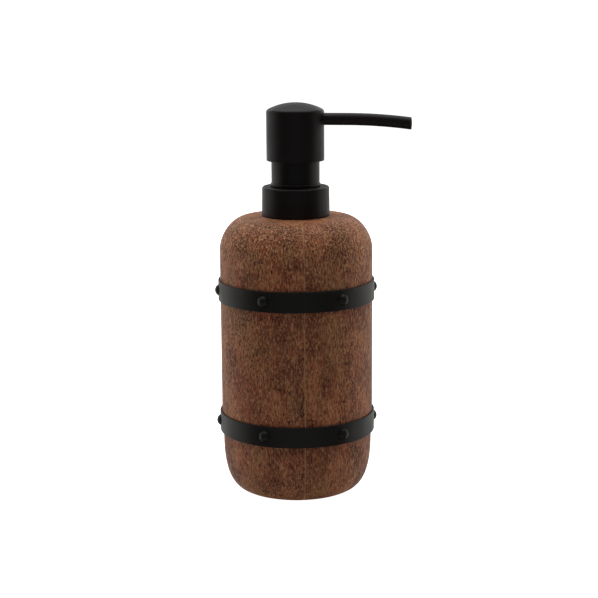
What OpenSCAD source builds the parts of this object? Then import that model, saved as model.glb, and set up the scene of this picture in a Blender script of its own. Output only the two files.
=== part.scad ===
// Soap pump dispenser: a turned wooden barrel with two riveted hoops, a plastic
// liner bottle inside it, and a black lotion pump with a telescoping head.
// Millimetres, +Z up. The origin is on the pump's axis at the underside of the
// base pad, and the spout points along +X.

/* [Barrel] */
// Outside diameter of the wooden barrel
barrel_d = 74.9; // [62:0.1:92]
// Height of the barrel's top above the table
barrel_top = 137.6; // [110:0.1:170]
// Thickness of the wood round the liner
wood_wall = 7.4; // [5:0.1:9]
// How far the rounded shoulder runs in from the side
shoulder_w = 12.3; // [10:0.1:16]
// Height of the rounded shoulder
shoulder_h = 15.5; // [12:0.1:20]
// Fall of the crown from the collar out to the shoulder
crown_drop = 0.35; // [0:0.05:1]
// How far the rounded foot runs in from the side
foot_w = 15; // [14:0.1:22]
// Height of the rounded foot
foot_h = 30.4; // [20:0.1:31]
// How much smaller the top of the foot is than the barrel, on the radius
foot_inset = 0.6; // [0:0.05:1]
// Thickness of the wood above the liner's shoulder
crown_t = 13.2; // [10:0.1:18]
// Thickness of the glued base plug
plug_t = 9.5; // [7:0.1:13]

/* [Base pad] */
// Diameter of the anti-slip pad
pad_d = 38; // [24:1:40]
// Thickness of the pad
pad_t = 2; // [1.2:0.1:3]
// How far the pad stands below the wood
pad_proud = 0.5; // [0.2:0.1:1]

/* [Hoops] */
// Height of each hoop strip
hoop_h = 10; // [7:0.1:13]
// Thickness of the hoop strip
hoop_t = 1; // [0.6:0.1:1.5]
// Middle of the upper hoop below the barrel's top
upper_hoop_drop = 36.1; // [28:0.1:46]
// Middle of the lower hoop above the table
lower_hoop_z = 35.6; // [30:0.1:44]
// Bevel on the hoop's edges
hoop_bevel = 0.25; // [0.1:0.05:0.4]
// Gap where the two ends of the strip meet
hoop_gap = 0.6; // [0.2:0.1:2]
// Rivets round each hoop
rivet_n = 6; // [4:1:8]
// Diameter of a rivet's head
rivet_head_d = 5.6; // [3.5:0.1:6]
// Height of a rivet's head
rivet_head_h = 1.7; // [0.8:0.1:2]
// Diameter of a rivet's shank
rivet_shank_d = 2.4; // [1.6:0.1:3]
// How deep a shank goes into the wood
rivet_grip = 4.5; // [3:0.1:4.6]
// Direction of the first rivet, from the spout's side
rivet_turn = 14.5; // [0:0.5:60]

/* [Liner bottle] */
// Wall of the moulded liner
liner_wall = 1.2; // [0.8:0.1:2]
// Radius of the liner's floor and shoulder corners
liner_corner = 6; // [3:0.5:9]
// Diameter of the neck under its thread
neck_d = 25.2; // [21:0.1:30.4]
// Wall of the neck
neck_wall = 1.7; // [1.2:0.1:2]
// How far the bead that locates the neck in the wood stands out from it
neck_bead_t = 1.9; // [1.4:0.1:2.4]

/* [Thread] */
// Rise of the thread in one turn
thread_pitch = 4.23; // [3.5:0.01:5.1]
// Height of the thread off the neck
thread_depth = 1.2; // [0.9:0.05:1.3]
// Width of a thread ridge at its root
thread_root_w = 2.5; // [2:0.1:2.6]
// Width of a thread ridge at its crest
thread_crest_w = 1.3; // [0.8:0.1:1.4]
// Turns of thread on the neck and in the cap
thread_turns = 1.1; // [0.8:0.05:1.2]
// Height of the cap's thread above the cap's foot
thread_start = 0.84; // [0.4:0.02:2]

/* [Screw cap and collar] */
// Wall of the screw cap
cap_wall = 1.45; // [1:0.05:3]
// Narrowing of the collar to its top, on the radius
collar_draft = 0.2; // [0:0.05:0.4]
// Thickness of the collar's shell
collar_wall = 0.8; // [0.6:0.1:1]
// Radius on the collar's top edge
collar_round = 1; // [0.6:0.1:2]
// How far the cap's top laps over the clamped flange
cap_lap = 2.05; // [1.6:0.05:2.6]
// Thickness of the cap's top and of the clamped flange
cap_web = 1; // [0.8:0.1:1.6]
// Thickness of the gasket on the neck
gasket_t = 1.2; // [0.8:0.1:2]
// Gap between the collar's foot and the wood
collar_lift = 0.2; // [0.1:0.1:1]

/* [Guide sleeve] */
// Wall of the sleeve that the head slides over
sleeve_wall = 0.8; // [0.5:0.1:1]
// How far the sleeve reaches into the head at rest
sleeve_overlap = 2.3; // [1.5:0.1:5]
// Height of the bead round the sleeve's foot
bead_h = 1.5; // [1:0.1:2]
// How far the bead stands out from the sleeve
bead_t = 0.5; // [0.3:0.05:0.6]

/* [Pump head] */
// Gap between the head's bore and the sleeve's bead
head_gap = 0.8; // [0.4:0.1:2]
// Wall of the head's shell
head_wall = 1; // [0.7:0.1:1.2]
// Height of the domed top
dome_h = 3.1; // [2:0.1:4.2]
// Radius on the dome's edge
dome_round = 1; // [0.4:0.1:1.2]
// How far the head presses down
stroke = 12; // [8:0.1:15]
// Gap left above the collar when the head is down
press_gap = 0.5; // [0.3:0.1:1.5]

/* [Spout] */
// Outside diameter of the spout tube
spout_d = 5.9; // [4.5:0.1:6.8]
// Bore of the spout tube
spout_bore_d = 3.8; // [3:0.1:4]
// Middle of the spout below the top of the dome
spout_drop = 7.9; // [7.8:0.1:11]
// Thickness of the head's core under the spout
core_floor = 2.5; // [1.5:0.1:4]
// Reach of the spout from the pump's axis
spout_reach = 56.3; // [44:0.1:75]
// Where the spout begins to bend
spout_bend_x = 26; // [20:0.5:34]
// Radius of the spout's bend
spout_bend_r = 240; // [120:5:400]

/* [Pump engine] */
// Bore of the pump's cylinder
cylinder_d = 12; // [11:0.1:14.6]
// Wall of the pump's cylinder
cylinder_wall = 1.2; // [0.9:0.1:1.5]
// Diameter of the stem
stem_d = 6.4; // [5.6:0.1:8]
// Bore of the stem
stem_bore_d = 3.2; // [2.4:0.1:3.4]
// Diameter of the stem where the piston rides
stem_neck_d = 4.8; // [4.4:0.1:5]
// Height of the piston
piston_h = 7.8; // [6.5:0.1:9]
// How far the piston slides on the stem to open its ports
piston_slip = 1.2; // [0.8:0.1:1.6]
// Diameter of the inlet ball
ball_d = 4.8; // [4:0.1:6]
// How far the ball lifts off its seat
ball_lift = 1.5; // [0.8:0.1:1.8]
// Wire of the return spring
wire_d = 0.8; // [0.6:0.01:1]
// Turns of the return spring
spring_turns = 8; // [6:0.5:9]
// Outside diameter of the dip tube
tube_d = 6; // [5:0.1:7.2]
// Wall of the dip tube
tube_wall = 0.9; // [0.6:0.1:1.2]
// Gap under the dip tube's end
tube_gap = 2.5; // [1.5:0.1:5]

/* [Hidden] */
$fn = 96;

// Clearances
slip = 0.05;        // glued or pushed together
running = 0.1;      // turns or slides
loose = 0.3;        // never touches
cut = 1;            // how far a cutting shape runs past the face that it cuts

// Squareness of the barrel's rounded stretches: 2 is an ellipse, and more is squarer
shoulder_power = 1.74;
foot_power = 2.87;
round_steps = 16;

neck_r = neck_d / 2;
neck_bore_r = neck_r - neck_wall;
neck_bead_r = neck_r + neck_bead_t;
neck_hole_r = neck_bead_r + running;
barrel_r = barrel_d / 2;
barrel_foot = pad_proud;
bore_r = barrel_r - wood_wall;
bore_top = barrel_top - crown_t;
upper_hoop_z = barrel_top - upper_hoop_drop;
plug_top = barrel_foot + plug_t;

liner_r = bore_r - loose;
liner_top = bore_top - loose;
liner_floor = plug_top + liner_wall;
bead_top = barrel_top - loose;

// Two ridges of the same slope: the cap's hangs just under the neck's
crest_r = neck_r + thread_depth;
cap_bore_r = crest_r + loose;
collar_foot = barrel_top + collar_lift;
cap_foot = collar_foot + running;
thread_bury = 0.3;
ridge_gap = 0.15;
flank_slope = (thread_root_w - thread_crest_w) / 2 / (thread_depth + thread_bury);
ridge_room = thread_root_w - flank_slope * (cap_bore_r - neck_r + 2 * thread_bury);
female_z = cap_foot + thread_start + thread_root_w / 2;
male_z = female_z + ridge_room + ridge_gap;
neck_top = male_z + thread_turns * thread_pitch + thread_root_w / 2 + loose;

// The stack that the cap clamps: gasket, then the housing's flange
flange_r = cap_bore_r - loose;
flange_z = neck_top + gasket_t;
flange_top = flange_z + cap_web;
cap_top = flange_top + cap_web;
cap_r = cap_bore_r + cap_wall;
collar_top = cap_top + slip + collar_wall;
collar_top_r = cap_r + slip + collar_wall;
collar_r = collar_top_r + collar_draft;
sleeve_r = flange_r - cap_lap;
sleeve_hole_r = sleeve_r + 0.25;

// Head heights, at rest
skirt_z = collar_top + press_gap + stroke;
head_bore_r = sleeve_r + bead_t + head_gap;
head_r = head_bore_r + head_wall;
sleeve_top = skirt_z + sleeve_overlap;
core_z = sleeve_top + stroke + loose + slip;
spout_r = spout_d / 2;
spout_root_x = stem_d / 2 + 0.95;
spout_z = core_z + core_floor + spout_r;
head_top = spout_z + spout_drop;
core_r = head_bore_r - slip;
socket_r = stem_d / 2 + 2.2;
stem_top = spout_z - spout_r;
dome_r = head_r - dome_round;
dome_sphere_r = (dome_r * dome_r + dome_h * dome_h) / (2 * dome_h);
dome_bore_r = dome_sphere_r - head_wall;
core_top = head_top - dome_sphere_r + sqrt(dome_bore_r * dome_bore_r - core_r * core_r) - slip;

// Pump engine heights, from the guide down
cylinder_r = cylinder_d / 2;
housing_r = cylinder_r + cylinder_wall;
rim_top = flange_top + 2.8;
rim_r = cylinder_r + 2;
guide_top = rim_top + 3;
guide_foot = flange_z - 10.2;
socket_foot = guide_top + stroke + 2.7;
guide_r = sleeve_r - sleeve_wall - slip;
stem_r = stem_d / 2;
stem_neck_r = stem_neck_d / 2;
stop_h = 2.6;
stop_r = cylinder_r - 1.2;
piston_top = guide_foot - stop_h - piston_slip;
piston_foot = piston_top - piston_h;
piston_r = cylinder_r - slip;
valve_cone_h = 1.2;
valve_disc_h = 1.2;
valve_r = cylinder_r - 1.1;
valve_lip_r = 3.4;
valve_slope = valve_cone_h / (valve_r - stem_neck_r);
valve_top = piston_foot + (valve_lip_r - stem_neck_r) * valve_slope - 0.03;
plug_foot = valve_top - valve_cone_h - valve_disc_h;
shank_h = 2;
port_z = piston_foot + piston_h / 2;
port_d = 1.4;

// Spring seat, ball cage and tube socket
spring_room = (spring_turns + 2) * wire_d + stroke + 3;
seat_z = plug_foot - spring_room;
ball_r = ball_d / 2;
cage_r = ball_r + 0.7;
throat_r = ball_r * 0.66;
seat_slope = 0.75;
seat_half_angle = atan(seat_slope);
ball_rise = ball_r / sin(seat_half_angle) - throat_r / seat_slope + 0.02;
seat_cone_h = (cage_r - throat_r) / seat_slope;
seat_cone_z = seat_z - ball_rise - ball_lift - ball_r - 0.6;
ball_z = seat_cone_z + ball_rise;
throat_h = 1.5;
socket_h = 10;
socket_top = seat_cone_z - throat_h;
tube_r = tube_d / 2;
socket_wall = 1.4;
tube_foot = liner_floor + tube_gap;
nub_inner_r = ball_r - 0.5;
nub_w = 0.9;
coil_r = cylinder_r - wire_d / 2 - 1.3;

// ---- Shapes that repeat ----

// A quarter of a squared-off ellipse, from angle a to angle b
function squared_arc(c, w, h, power, a, b) = [
    for (i = [0:round_steps])
        let (t = a + (b - a) * i / round_steps)
            [c[0] + w * sign(cos(t)) * pow(abs(cos(t)), 2 / power),
             c[1] + h * sign(sin(t)) * pow(abs(sin(t)), 2 / power)]
];

// An arc of a circle, from angle a to angle b
function arc(c, r, a, b, steps = 8) = [
    for (i = [0:steps]) let (t = a + (b - a) * i / steps) [c[0] + r * cos(t), c[1] + r * sin(t)]
];

module turned(points) {
    rotate_extrude() polygon(points);
}

module ring(inner_r, outer_r, z0, z1) {
    turned([[inner_r, z0], [outer_r, z0], [outer_r, z1], [inner_r, z1]]);
}

module disc(r, z0, z1) {
    translate([0, 0, z0]) cylinder(r = r, h = z1 - z0);
}

// Joins equal rings of points into one closed skin: with flat ends, or looped
// round so that the last ring meets the first
module skin(rings, looped = false) {
    n = len(rings[0]);
    m = len(rings);
    points = [for (r = rings) each r];
    sides = [
        for (i = [0:m - (looped ? 1 : 2)], j = [0:n - 1])
            let (
                a = i * n + j,
                b = i * n + (j + 1) % n,
                c = (i + 1) % m * n + j,
                d = (i + 1) % m * n + (j + 1) % n
            )
                each [[a, b, c], [b, d, c]]
    ];
    ends = looped ? [] : [[for (j = [n - 1:-1:0]) j], [for (j = [0:n - 1]) (m - 1) * n + j]];
    polyhedron(points = points, faces = concat(sides, ends));
}

// One ridge of screw thread. root_r lies inside the wall that carries it, and
// grow is 1 for a thread outside a neck and -1 for a thread inside a cap.
module thread_ridge(root_r, grow, z0) {
    steps_a_turn = 36;
    steps = round(thread_turns * steps_a_turn);
    fade = 4;
    skin([
        for (i = [0:steps])
            let (
                t = i * 360 / steps_a_turn,
                z = z0 + thread_pitch * i / steps_a_turn,
                full = min(1, (min(i, steps - i) + 1) / fade),
                root = root_r - grow * thread_bury,
                tip = root_r + grow * thread_depth * full,
                half_root = thread_root_w / 2,
                half_tip = thread_crest_w / 2,
                section = [[root, -half_root], [tip, -half_tip], [tip, half_tip], [root, half_root]],
                ordered = grow > 0 ? section : [for (k = [3:-1:0]) section[k]]
            )
                [for (p = ordered) [p[0] * cos(t), p[0] * sin(t), z + p[1]]]
    ]);
}

// Places its children at each rivet's direction, looking outwards along +X
module at_rivets(z) {
    for (i = [0:rivet_n - 1])
        rotate([0, 0, rivet_turn + i * 360 / rivet_n]) translate([0, 0, z]) children();
}

module rivet_holes(z) {
    at_rivets(z)
        translate([barrel_r - rivet_grip, 0, 0])
            rotate([0, 90, 0]) cylinder(d = rivet_shank_d, h = rivet_grip + hoop_t + cut);
}

// ---- Barrel ----

function barrel_outline() = concat(
    [[0, barrel_foot]],
    squared_arc([barrel_r - foot_inset - foot_w, barrel_foot + foot_h], foot_w, foot_h, foot_power, -90, 0),
    [[barrel_r, lower_hoop_z - hoop_h / 2 + 1]],
    squared_arc([barrel_r - shoulder_w, barrel_top - crown_drop - shoulder_h],
                shoulder_w, shoulder_h, shoulder_power, 0, 90),
    [[min(collar_r, barrel_r - shoulder_w - cut), barrel_top], [0, barrel_top]]
);

module wood_barrel() {
    color([0.45, 0.25, 0.17])
    difference() {
        turned(barrel_outline());
        turned(concat(
            [[0, barrel_foot - cut], [bore_r, barrel_foot - cut]],
            arc([bore_r - liner_corner, bore_top - liner_corner], liner_corner, 0, 90),
            [[0, bore_top]]
        ));
        disc(neck_hole_r, bore_top - cut, barrel_top + cut);
        rivet_holes(upper_hoop_z);
        rivet_holes(lower_hoop_z);
    }
}

module base_plug() {
    color([0.42, 0.24, 0.16])
    difference() {
        intersection() {
            turned(barrel_outline());
            disc(bore_r - slip, 0, plug_top);
        }
        disc(pad_d / 2 + slip, barrel_foot - cut, pad_t);
    }
}

module base_pad() {
    bevel = 0.3;
    r = pad_d / 2;
    color([0.08, 0.08, 0.08])
    turned([[0, 0], [r - bevel, 0], [r, bevel], [r, pad_t], [0, pad_t]]);
}

module liner_bottle() {
    inner_corner = liner_corner - liner_wall;
    neck_root = 1.5;
    color([0.9, 0.9, 0.88, 0.6])
    difference() {
        union() {
            turned(concat(
                [[0, plug_top]],
                arc([liner_r - liner_corner, plug_top + liner_corner], liner_corner, -90, 0),
                arc([liner_r - liner_corner, liner_top - liner_corner], liner_corner, 0, 90),
                [[neck_bead_r, liner_top], [neck_bead_r, bead_top],
                 [neck_r, bead_top], [neck_r, neck_top], [0, neck_top]]
            ));
            thread_ridge(neck_r, 1, male_z);
        }
        turned(concat(
            [[0, liner_floor]],
            arc([liner_r - liner_corner, plug_top + liner_corner], inner_corner, -90, 0),
            arc([liner_r - liner_corner, liner_top - liner_corner], inner_corner, 0, 90),
            [[neck_bore_r + neck_root, liner_top - liner_wall],
             [neck_bore_r, liner_top - liner_wall + neck_root],
             [neck_bore_r, neck_top + cut], [0, neck_top + cut]]
        ));
    }
}

// ---- Hoops and rivets ----

module hoop(z) {
    r0 = barrel_r;
    r1 = barrel_r + hoop_t;
    half = hoop_h / 2;
    gap_angle = hoop_gap / r1 * 180 / PI;
    // The butt joint lies midway between two rivets
    start_turn = rivet_turn + 360 / rivet_n * 1.5 + gap_angle / 2;
    color([0.06, 0.06, 0.06])
    difference() {
        rotate([0, 0, start_turn])
            rotate_extrude(angle = 360 - gap_angle)
                polygon([
                    [r0, z - half], [r1 - hoop_bevel, z - half], [r1, z - half + hoop_bevel],
                    [r1, z + half - hoop_bevel], [r1 - hoop_bevel, z + half], [r0, z + half]
                ]);
        rivet_holes(z);
    }
}

module upper_hoop() { hoop(upper_hoop_z); }
module lower_hoop() { hoop(lower_hoop_z); }

// A domed head on a shank, pointing outwards along +X
module rivet() {
    head_r = rivet_head_d / 2;
    sphere_r = (head_r * head_r + rivet_head_h * rivet_head_h) / (2 * rivet_head_h);
    // The head's flat underside clears the hoop's curve at its middle
    seat = barrel_r + hoop_t;
    rotate([0, 90, 0])
        turned(concat(
            [[0, barrel_r - rivet_grip], [rivet_shank_d / 2, barrel_r - rivet_grip],
             [rivet_shank_d / 2, seat], [head_r, seat]],
            [for (i = [1:round_steps - 1])
                let (a = asin(head_r / sphere_r) * (1 - i / round_steps))
                    [sphere_r * sin(a), seat + rivet_head_h - sphere_r * (1 - cos(a))]],
            [[0, seat + rivet_head_h]]
        ));
}

module rivets(z) {
    color([0.05, 0.05, 0.05]) at_rivets(z) rivet();
}

module upper_hoop_rivets() { rivets(upper_hoop_z); }
module lower_hoop_rivets() { rivets(lower_hoop_z); }

// ---- Cap, collar and sleeve ----

module screw_cap() {
    color([0.12, 0.12, 0.12])
    difference() {
        union() {
            difference() {
                disc(cap_r, cap_foot, cap_top);
                disc(cap_bore_r, cap_foot - cut, flange_top);
            }
            thread_ridge(cap_bore_r, -1, female_z);
        }
        disc(sleeve_hole_r, flange_top - cut, cap_top + cut);
    }
}

module collar_shell() {
    inner_r = cap_r + slip;
    web_z = cap_top + slip;
    color([0.06, 0.06, 0.06])
    turned(concat(
        [[inner_r, collar_foot], [collar_r, collar_foot]],
        arc([collar_top_r - collar_round, collar_top - collar_round], collar_round, 0, 90),
        [[sleeve_hole_r, collar_top], [sleeve_hole_r, web_z], [inner_r, web_z]]
    ));
}

module neck_gasket() {
    color([0.85, 0.85, 0.82]) ring(neck_bore_r, flange_r - loose, neck_top, flange_z);
}

module guide_sleeve() {
    lip = 0.25;
    inner_r = sleeve_r - sleeve_wall;
    bead_foot = collar_top + running;
    color([0.07, 0.07, 0.07])
    turned(concat(
        [[inner_r, flange_top], [sleeve_r, flange_top], [sleeve_r, bead_foot]],
        squared_arc([sleeve_r, bead_foot + bead_h / 2], bead_t, bead_h / 2, 3, -90, 90),
        [[sleeve_r, sleeve_top - lip], [sleeve_r - lip, sleeve_top], [inner_r, sleeve_top]]
    ));
}

// ---- Pump engine, fixed parts ----

module stem_guide() {
    stem_hole_r = stem_r + running;
    tube_outer_r = cylinder_r - slip;
    skirt_r = rim_r + slip;
    color([0.2, 0.2, 0.2])
    turned([
        [stem_hole_r, guide_foot], [tube_outer_r, guide_foot], [tube_outer_r, rim_top + slip],
        [skirt_r, rim_top + slip], [skirt_r, flange_top], [guide_r, flange_top],
        [guide_r, guide_top], [stem_hole_r, guide_top]
    ]);
}

module pump_housing() {
    taper_h = 4;
    socket_r = max(tube_r, cage_r) + socket_wall;
    vent_z = piston_top + (guide_foot - piston_top) / 2;
    vent_d = 1.2;
    nub_z = ball_z + ball_lift + sqrt(pow(ball_r, 2) - pow(nub_inner_r, 2)) + slip;
    color([0.88, 0.88, 0.88])
    difference() {
        union() {
            difference() {
                turned([
                    [0, socket_top - socket_h], [socket_r, socket_top - socket_h],
                    [socket_r, seat_z - taper_h], [housing_r, seat_z], [housing_r, flange_z],
                    [flange_r, flange_z], [flange_r, flange_top], [rim_r, flange_top],
                    [rim_r, rim_top], [0, rim_top]
                ]);
                disc(cylinder_r, seat_z, rim_top + cut);
                turned([
                    [0, seat_z + cut], [0, socket_top - cut], [throat_r, socket_top - cut],
                    [throat_r, seat_cone_z], [cage_r, seat_cone_z + seat_cone_h],
                    [cage_r, seat_z + cut]
                ]);
                disc(tube_r, socket_top - socket_h - cut, socket_top);
            }
            // Nubs that keep the ball in its cage
            for (i = [0:2])
                rotate([0, 0, 60 + i * 120])
                    translate([nub_inner_r, -nub_w / 2, nub_z])
                        cube([cage_r + socket_wall / 2 - nub_inner_r, nub_w, nub_w]);
        }
        // Vent that lets air back into the bottle
        translate([0, 0, vent_z]) rotate([0, 90, 0]) cylinder(d = vent_d, h = housing_r + cut);
    }
}

module dip_tube() {
    notch = tube_r * 1.6;
    color([0.93, 0.93, 0.9, 0.7])
    difference() {
        ring(tube_r - tube_wall, tube_r, tube_foot, socket_top);
        // The end is nicked so that it can't seal itself on the floor
        translate([0, 0, tube_foot]) rotate([0, 45, 0])
            cube([notch, tube_d + cut, notch], center = true);
    }
}

module inlet_ball() {
    color([0.75, 0.78, 0.8]) translate([0, 0, ball_z]) sphere(d = ball_d);
}

module return_spring() {
    steps_a_turn = 16;
    sides = 8;
    wire_r = wire_d / 2;
    low = seat_z + wire_r + 0.02;
    high = plug_foot - wire_r - 0.02;
    closed = 1;  // turns wound flat at each end
    steps = spring_turns * steps_a_turn;
    free_rise = (high - low - 2 * closed * (wire_d + 0.05)) / (spring_turns - 2 * closed);
    function rise(u) =
        u < closed ? u * (wire_d + 0.05)
        : u > spring_turns - closed ? high - low - (spring_turns - u) * (wire_d + 0.05)
        : closed * (wire_d + 0.05) + (u - closed) * free_rise;
    color([0.7, 0.7, 0.72])
    skin([
        for (i = [0:steps])
            let (u = i / steps_a_turn, t = u * 360, z = low + rise(u))
                [for (k = [0:sides - 1])
                    let (a = k * 360 / sides, r = coil_r + wire_r * cos(a))
                        [r * cos(t), r * sin(t), z + wire_r * sin(a)]]
    ]);
}

// ---- Pump engine, moving parts ----

module pump_stem() {
    stop_z = guide_foot - stop_h;
    foot_z = valve_top;
    color([0.9, 0.9, 0.9])
    difference() {
        union() {
            disc(stem_r, stop_z, stem_top);
            disc(stop_r, stop_z, guide_foot);
            disc(stem_neck_r, foot_z, guide_foot);
        }
        disc(stem_bore_d / 2, foot_z - cut, stem_top + cut);
        translate([0, 0, port_z]) rotate([0, 90, 0])
            cylinder(d = port_d, h = stem_d + cut, center = true);
    }
}

module stem_plug() {
    color([0.85, 0.85, 0.85])
    turned([
        [0, plug_foot], [valve_r, plug_foot], [valve_r, plug_foot + valve_disc_h],
        [stem_neck_r, valve_top], [stem_bore_d / 2, valve_top],
        [stem_bore_d / 2, valve_top + shank_h], [0, valve_top + shank_h]
    ]);
}

module piston_seal() {
    lip = 0.8;
    flare = 0.6;
    grip_r = stem_neck_r + slip;
    channel_r = stem_neck_r + 0.7;
    foot = piston_foot;
    top = piston_top;
    color([0.95, 0.95, 0.92])
    turned([
        [valve_lip_r, foot], [piston_r - flare - lip / 2, foot], [piston_r - flare, foot - lip],
        [piston_r, foot - lip], [piston_r, foot + 0.2], [piston_r - flare, foot + 2],
        [piston_r - flare, top - 2], [piston_r, top - 0.6], [piston_r, top],
        [grip_r, top], [grip_r, top - 1], [channel_r, top - 1.6], [channel_r, foot + 1]
    ]);
}

// ---- Head ----

module head_core() {
    stem_hole_r = stem_r + slip;
    channel_r = spout_bore_d / 2;
    color([0.1, 0.1, 0.1])
    difference() {
        union() {
            disc(core_r, core_z, core_top);
            disc(socket_r, socket_foot, core_z);
        }
        disc(stem_hole_r, socket_foot - cut, stem_top + slip);
        disc(channel_r, stem_top, spout_z);
        translate([0, 0, spout_z]) rotate([0, 90, 0]) cylinder(r = channel_r, h = spout_root_x + cut);
        translate([spout_root_x, 0, spout_z]) rotate([0, 90, 0])
            cylinder(r = spout_r, h = head_r);
    }
}

function dome_outline(r, sphere_r, centre_z) = [
    for (i = [0:round_steps - 1])
        let (a = asin(r / sphere_r) * (1 - i / round_steps))
            [sphere_r * sin(a), centre_z + sphere_r * cos(a)]
];

module head_shell() {
    centre_z = head_top - dome_sphere_r;
    inner_sphere_r = dome_sphere_r - head_wall;
    color([0.06, 0.06, 0.06])
    difference() {
        turned(concat(
            [[0, skirt_z], [head_r, skirt_z]],
            arc([head_r - dome_round, head_top - dome_h - dome_round], dome_round, 0, 60, 5),
            dome_outline(dome_r - dome_round / 2, dome_sphere_r, centre_z),
            [[0, head_top]]
        ));
        turned(concat(
            [[0, skirt_z - cut], [head_bore_r, skirt_z - cut]],
            dome_outline(head_bore_r, inner_sphere_r, centre_z),
            [[0, head_top - head_wall]]
        ));
        translate([0, 0, spout_z]) rotate([0, 90, 0]) cylinder(r = spout_r, h = head_r + cut);
    }
}

// A straight run of tube, then a bend down to the tip, which is cut upright. The
// skin runs out along the outside and comes back along the bore.
module spout_tube() {
    sides = 28;
    bend_steps = 10;
    bend_angle = asin((spout_reach - spout_bend_x) / spout_bend_r);
    stations = concat(
        [[spout_root_x, spout_z, 0]],
        [for (k = [0:bend_steps])
            let (a = bend_angle * k / bend_steps)
                [spout_bend_x + spout_bend_r * sin(a), spout_z - spout_bend_r * (1 - cos(a)), k < bend_steps ? a : 0]]
    );
    function hoop_of(station, r) = [
        for (j = [0:sides - 1])
            let (t = 360 * j / sides, up = r * cos(t))
                [station[0] + up * sin(station[2]), r * sin(t), station[1] + up * cos(station[2])]
    ];
    outside = [for (s = stations) hoop_of(s, spout_r)];
    inside = [for (k = [len(stations) - 1:-1:0]) hoop_of(stations[k], spout_bore_d / 2)];
    color([0.06, 0.06, 0.06]) skin(concat(outside, inside), looped = true);
}

wood_barrel();
base_plug();
base_pad();
liner_bottle();
upper_hoop();
lower_hoop();
upper_hoop_rivets();
lower_hoop_rivets();
screw_cap();
collar_shell();
neck_gasket();
guide_sleeve();
stem_guide();
pump_housing();
dip_tube();
inlet_ball();
return_spring();
pump_stem();
stem_plug();
piston_seal();
head_core();
head_shell();
spout_tube();
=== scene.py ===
# %% [markdown]
# # A wooden soap dispenser with riveted hoops
#
# The object is a lathe-turned wooden barrel with a plastic liner inside it. Two black metal
# hoops are riveted round the barrel, and a black metal lotion pump screws onto the liner's neck.
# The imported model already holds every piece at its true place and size, in metres. This
# notebook keeps those places, makes finer surfaces for the pieces that show, and gives every
# piece the finish of the real one.

import math

import bpy
import numpy as np
from mathutils import Matrix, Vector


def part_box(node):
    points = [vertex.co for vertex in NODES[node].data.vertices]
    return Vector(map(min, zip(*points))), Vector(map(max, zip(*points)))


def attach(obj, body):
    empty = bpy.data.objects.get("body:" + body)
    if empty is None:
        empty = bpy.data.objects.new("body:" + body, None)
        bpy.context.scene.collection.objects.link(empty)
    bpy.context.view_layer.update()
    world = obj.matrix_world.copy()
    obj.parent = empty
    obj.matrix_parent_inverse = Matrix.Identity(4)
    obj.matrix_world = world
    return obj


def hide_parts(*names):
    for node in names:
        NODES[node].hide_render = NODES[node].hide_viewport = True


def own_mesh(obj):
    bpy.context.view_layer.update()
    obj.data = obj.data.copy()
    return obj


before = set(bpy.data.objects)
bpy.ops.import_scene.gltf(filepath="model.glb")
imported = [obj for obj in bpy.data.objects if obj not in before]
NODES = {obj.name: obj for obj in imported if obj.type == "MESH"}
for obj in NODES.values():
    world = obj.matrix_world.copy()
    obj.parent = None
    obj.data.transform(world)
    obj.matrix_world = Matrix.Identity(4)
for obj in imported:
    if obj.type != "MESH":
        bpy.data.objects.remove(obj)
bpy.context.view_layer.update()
MM = 0.001

# %% [markdown]
# ## Reading sizes off the frame
#
# Each new surface has to sit exactly where its node sits, so radii and heights are read from
# the nodes' boxes. A turned piece is round about the Z axis, so its reach along Y is its
# radius. Walls and bores don't show in a box, and those few are given in millimetres.


# %% Radii and heights
def low(node):
    """The height of the node's foot."""
    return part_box(node)[0].z


def high(node):
    """The height of the node's top."""
    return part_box(node)[1].z


def radius(node):
    """How far a turned node reaches from the Z axis."""
    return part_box(node)[1].y


BARREL_R, BARREL_TOP = radius("wood_barrel"), high("wood_barrel")
BORE_R = BARREL_R - 7.4 * MM
PLUG_FOOT, PLUG_TOP, PLUG_R = low("base_plug"), high("base_plug"), radius("base_plug")
HOOP_R = BARREL_R + 1.0 * MM
print("barrel radius", round(BARREL_R / MM, 2), "mm and top", round(BARREL_TOP / MM, 2), "mm")

# %% [markdown]
# ## Outlines with rounded corners
#
# A lathe-turned piece, a pressed metal shell and a moulded tube are all round, so each is one
# outline in radius and height. Real outlines have no sharp corners: the tool, the die or the
# coat of powder rounds each edge, and that small round is what catches the light. So an
# outline is given as corners with a radius each. The barrel's shoulder and foot are fuller
# than a quarter circle, and a squared ellipse draws them.


# %% Rounded corners, squared arcs and even spacing
def rounded(corners, radii, arc_points=6, guard=0.05 * MM):
    """Each inner corner becomes the arc that touches both its sides. The arc starts
    r * tan(turn / 2) before the corner, and a guard point on each side keeps the flat flat."""
    corners = np.asarray(corners, float)
    out = [corners[:1]]
    for before, corner, after, r in zip(corners[:-2], corners[1:-1], corners[2:], radii):
        a = (corner - before) / np.linalg.norm(corner - before)
        b = (after - corner) / np.linalg.norm(after - corner)
        turn = math.atan2(a[0] * b[1] - a[1] * b[0], a @ b)
        reach = r * abs(math.tan(turn / 2))
        start = corner - a * reach
        arm = -math.copysign(r, turn) * np.array([-a[1], a[0]])
        t = np.linspace(0, turn, arc_points)[:, None]
        arc = start - arm + np.cos(t) * arm + np.sin(t) * np.array([-arm[1], arm[0]])
        out += [[start - a * guard], arc, [corner + b * (reach + guard)]]
    return np.vstack(out + [corners[-1:]])


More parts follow.
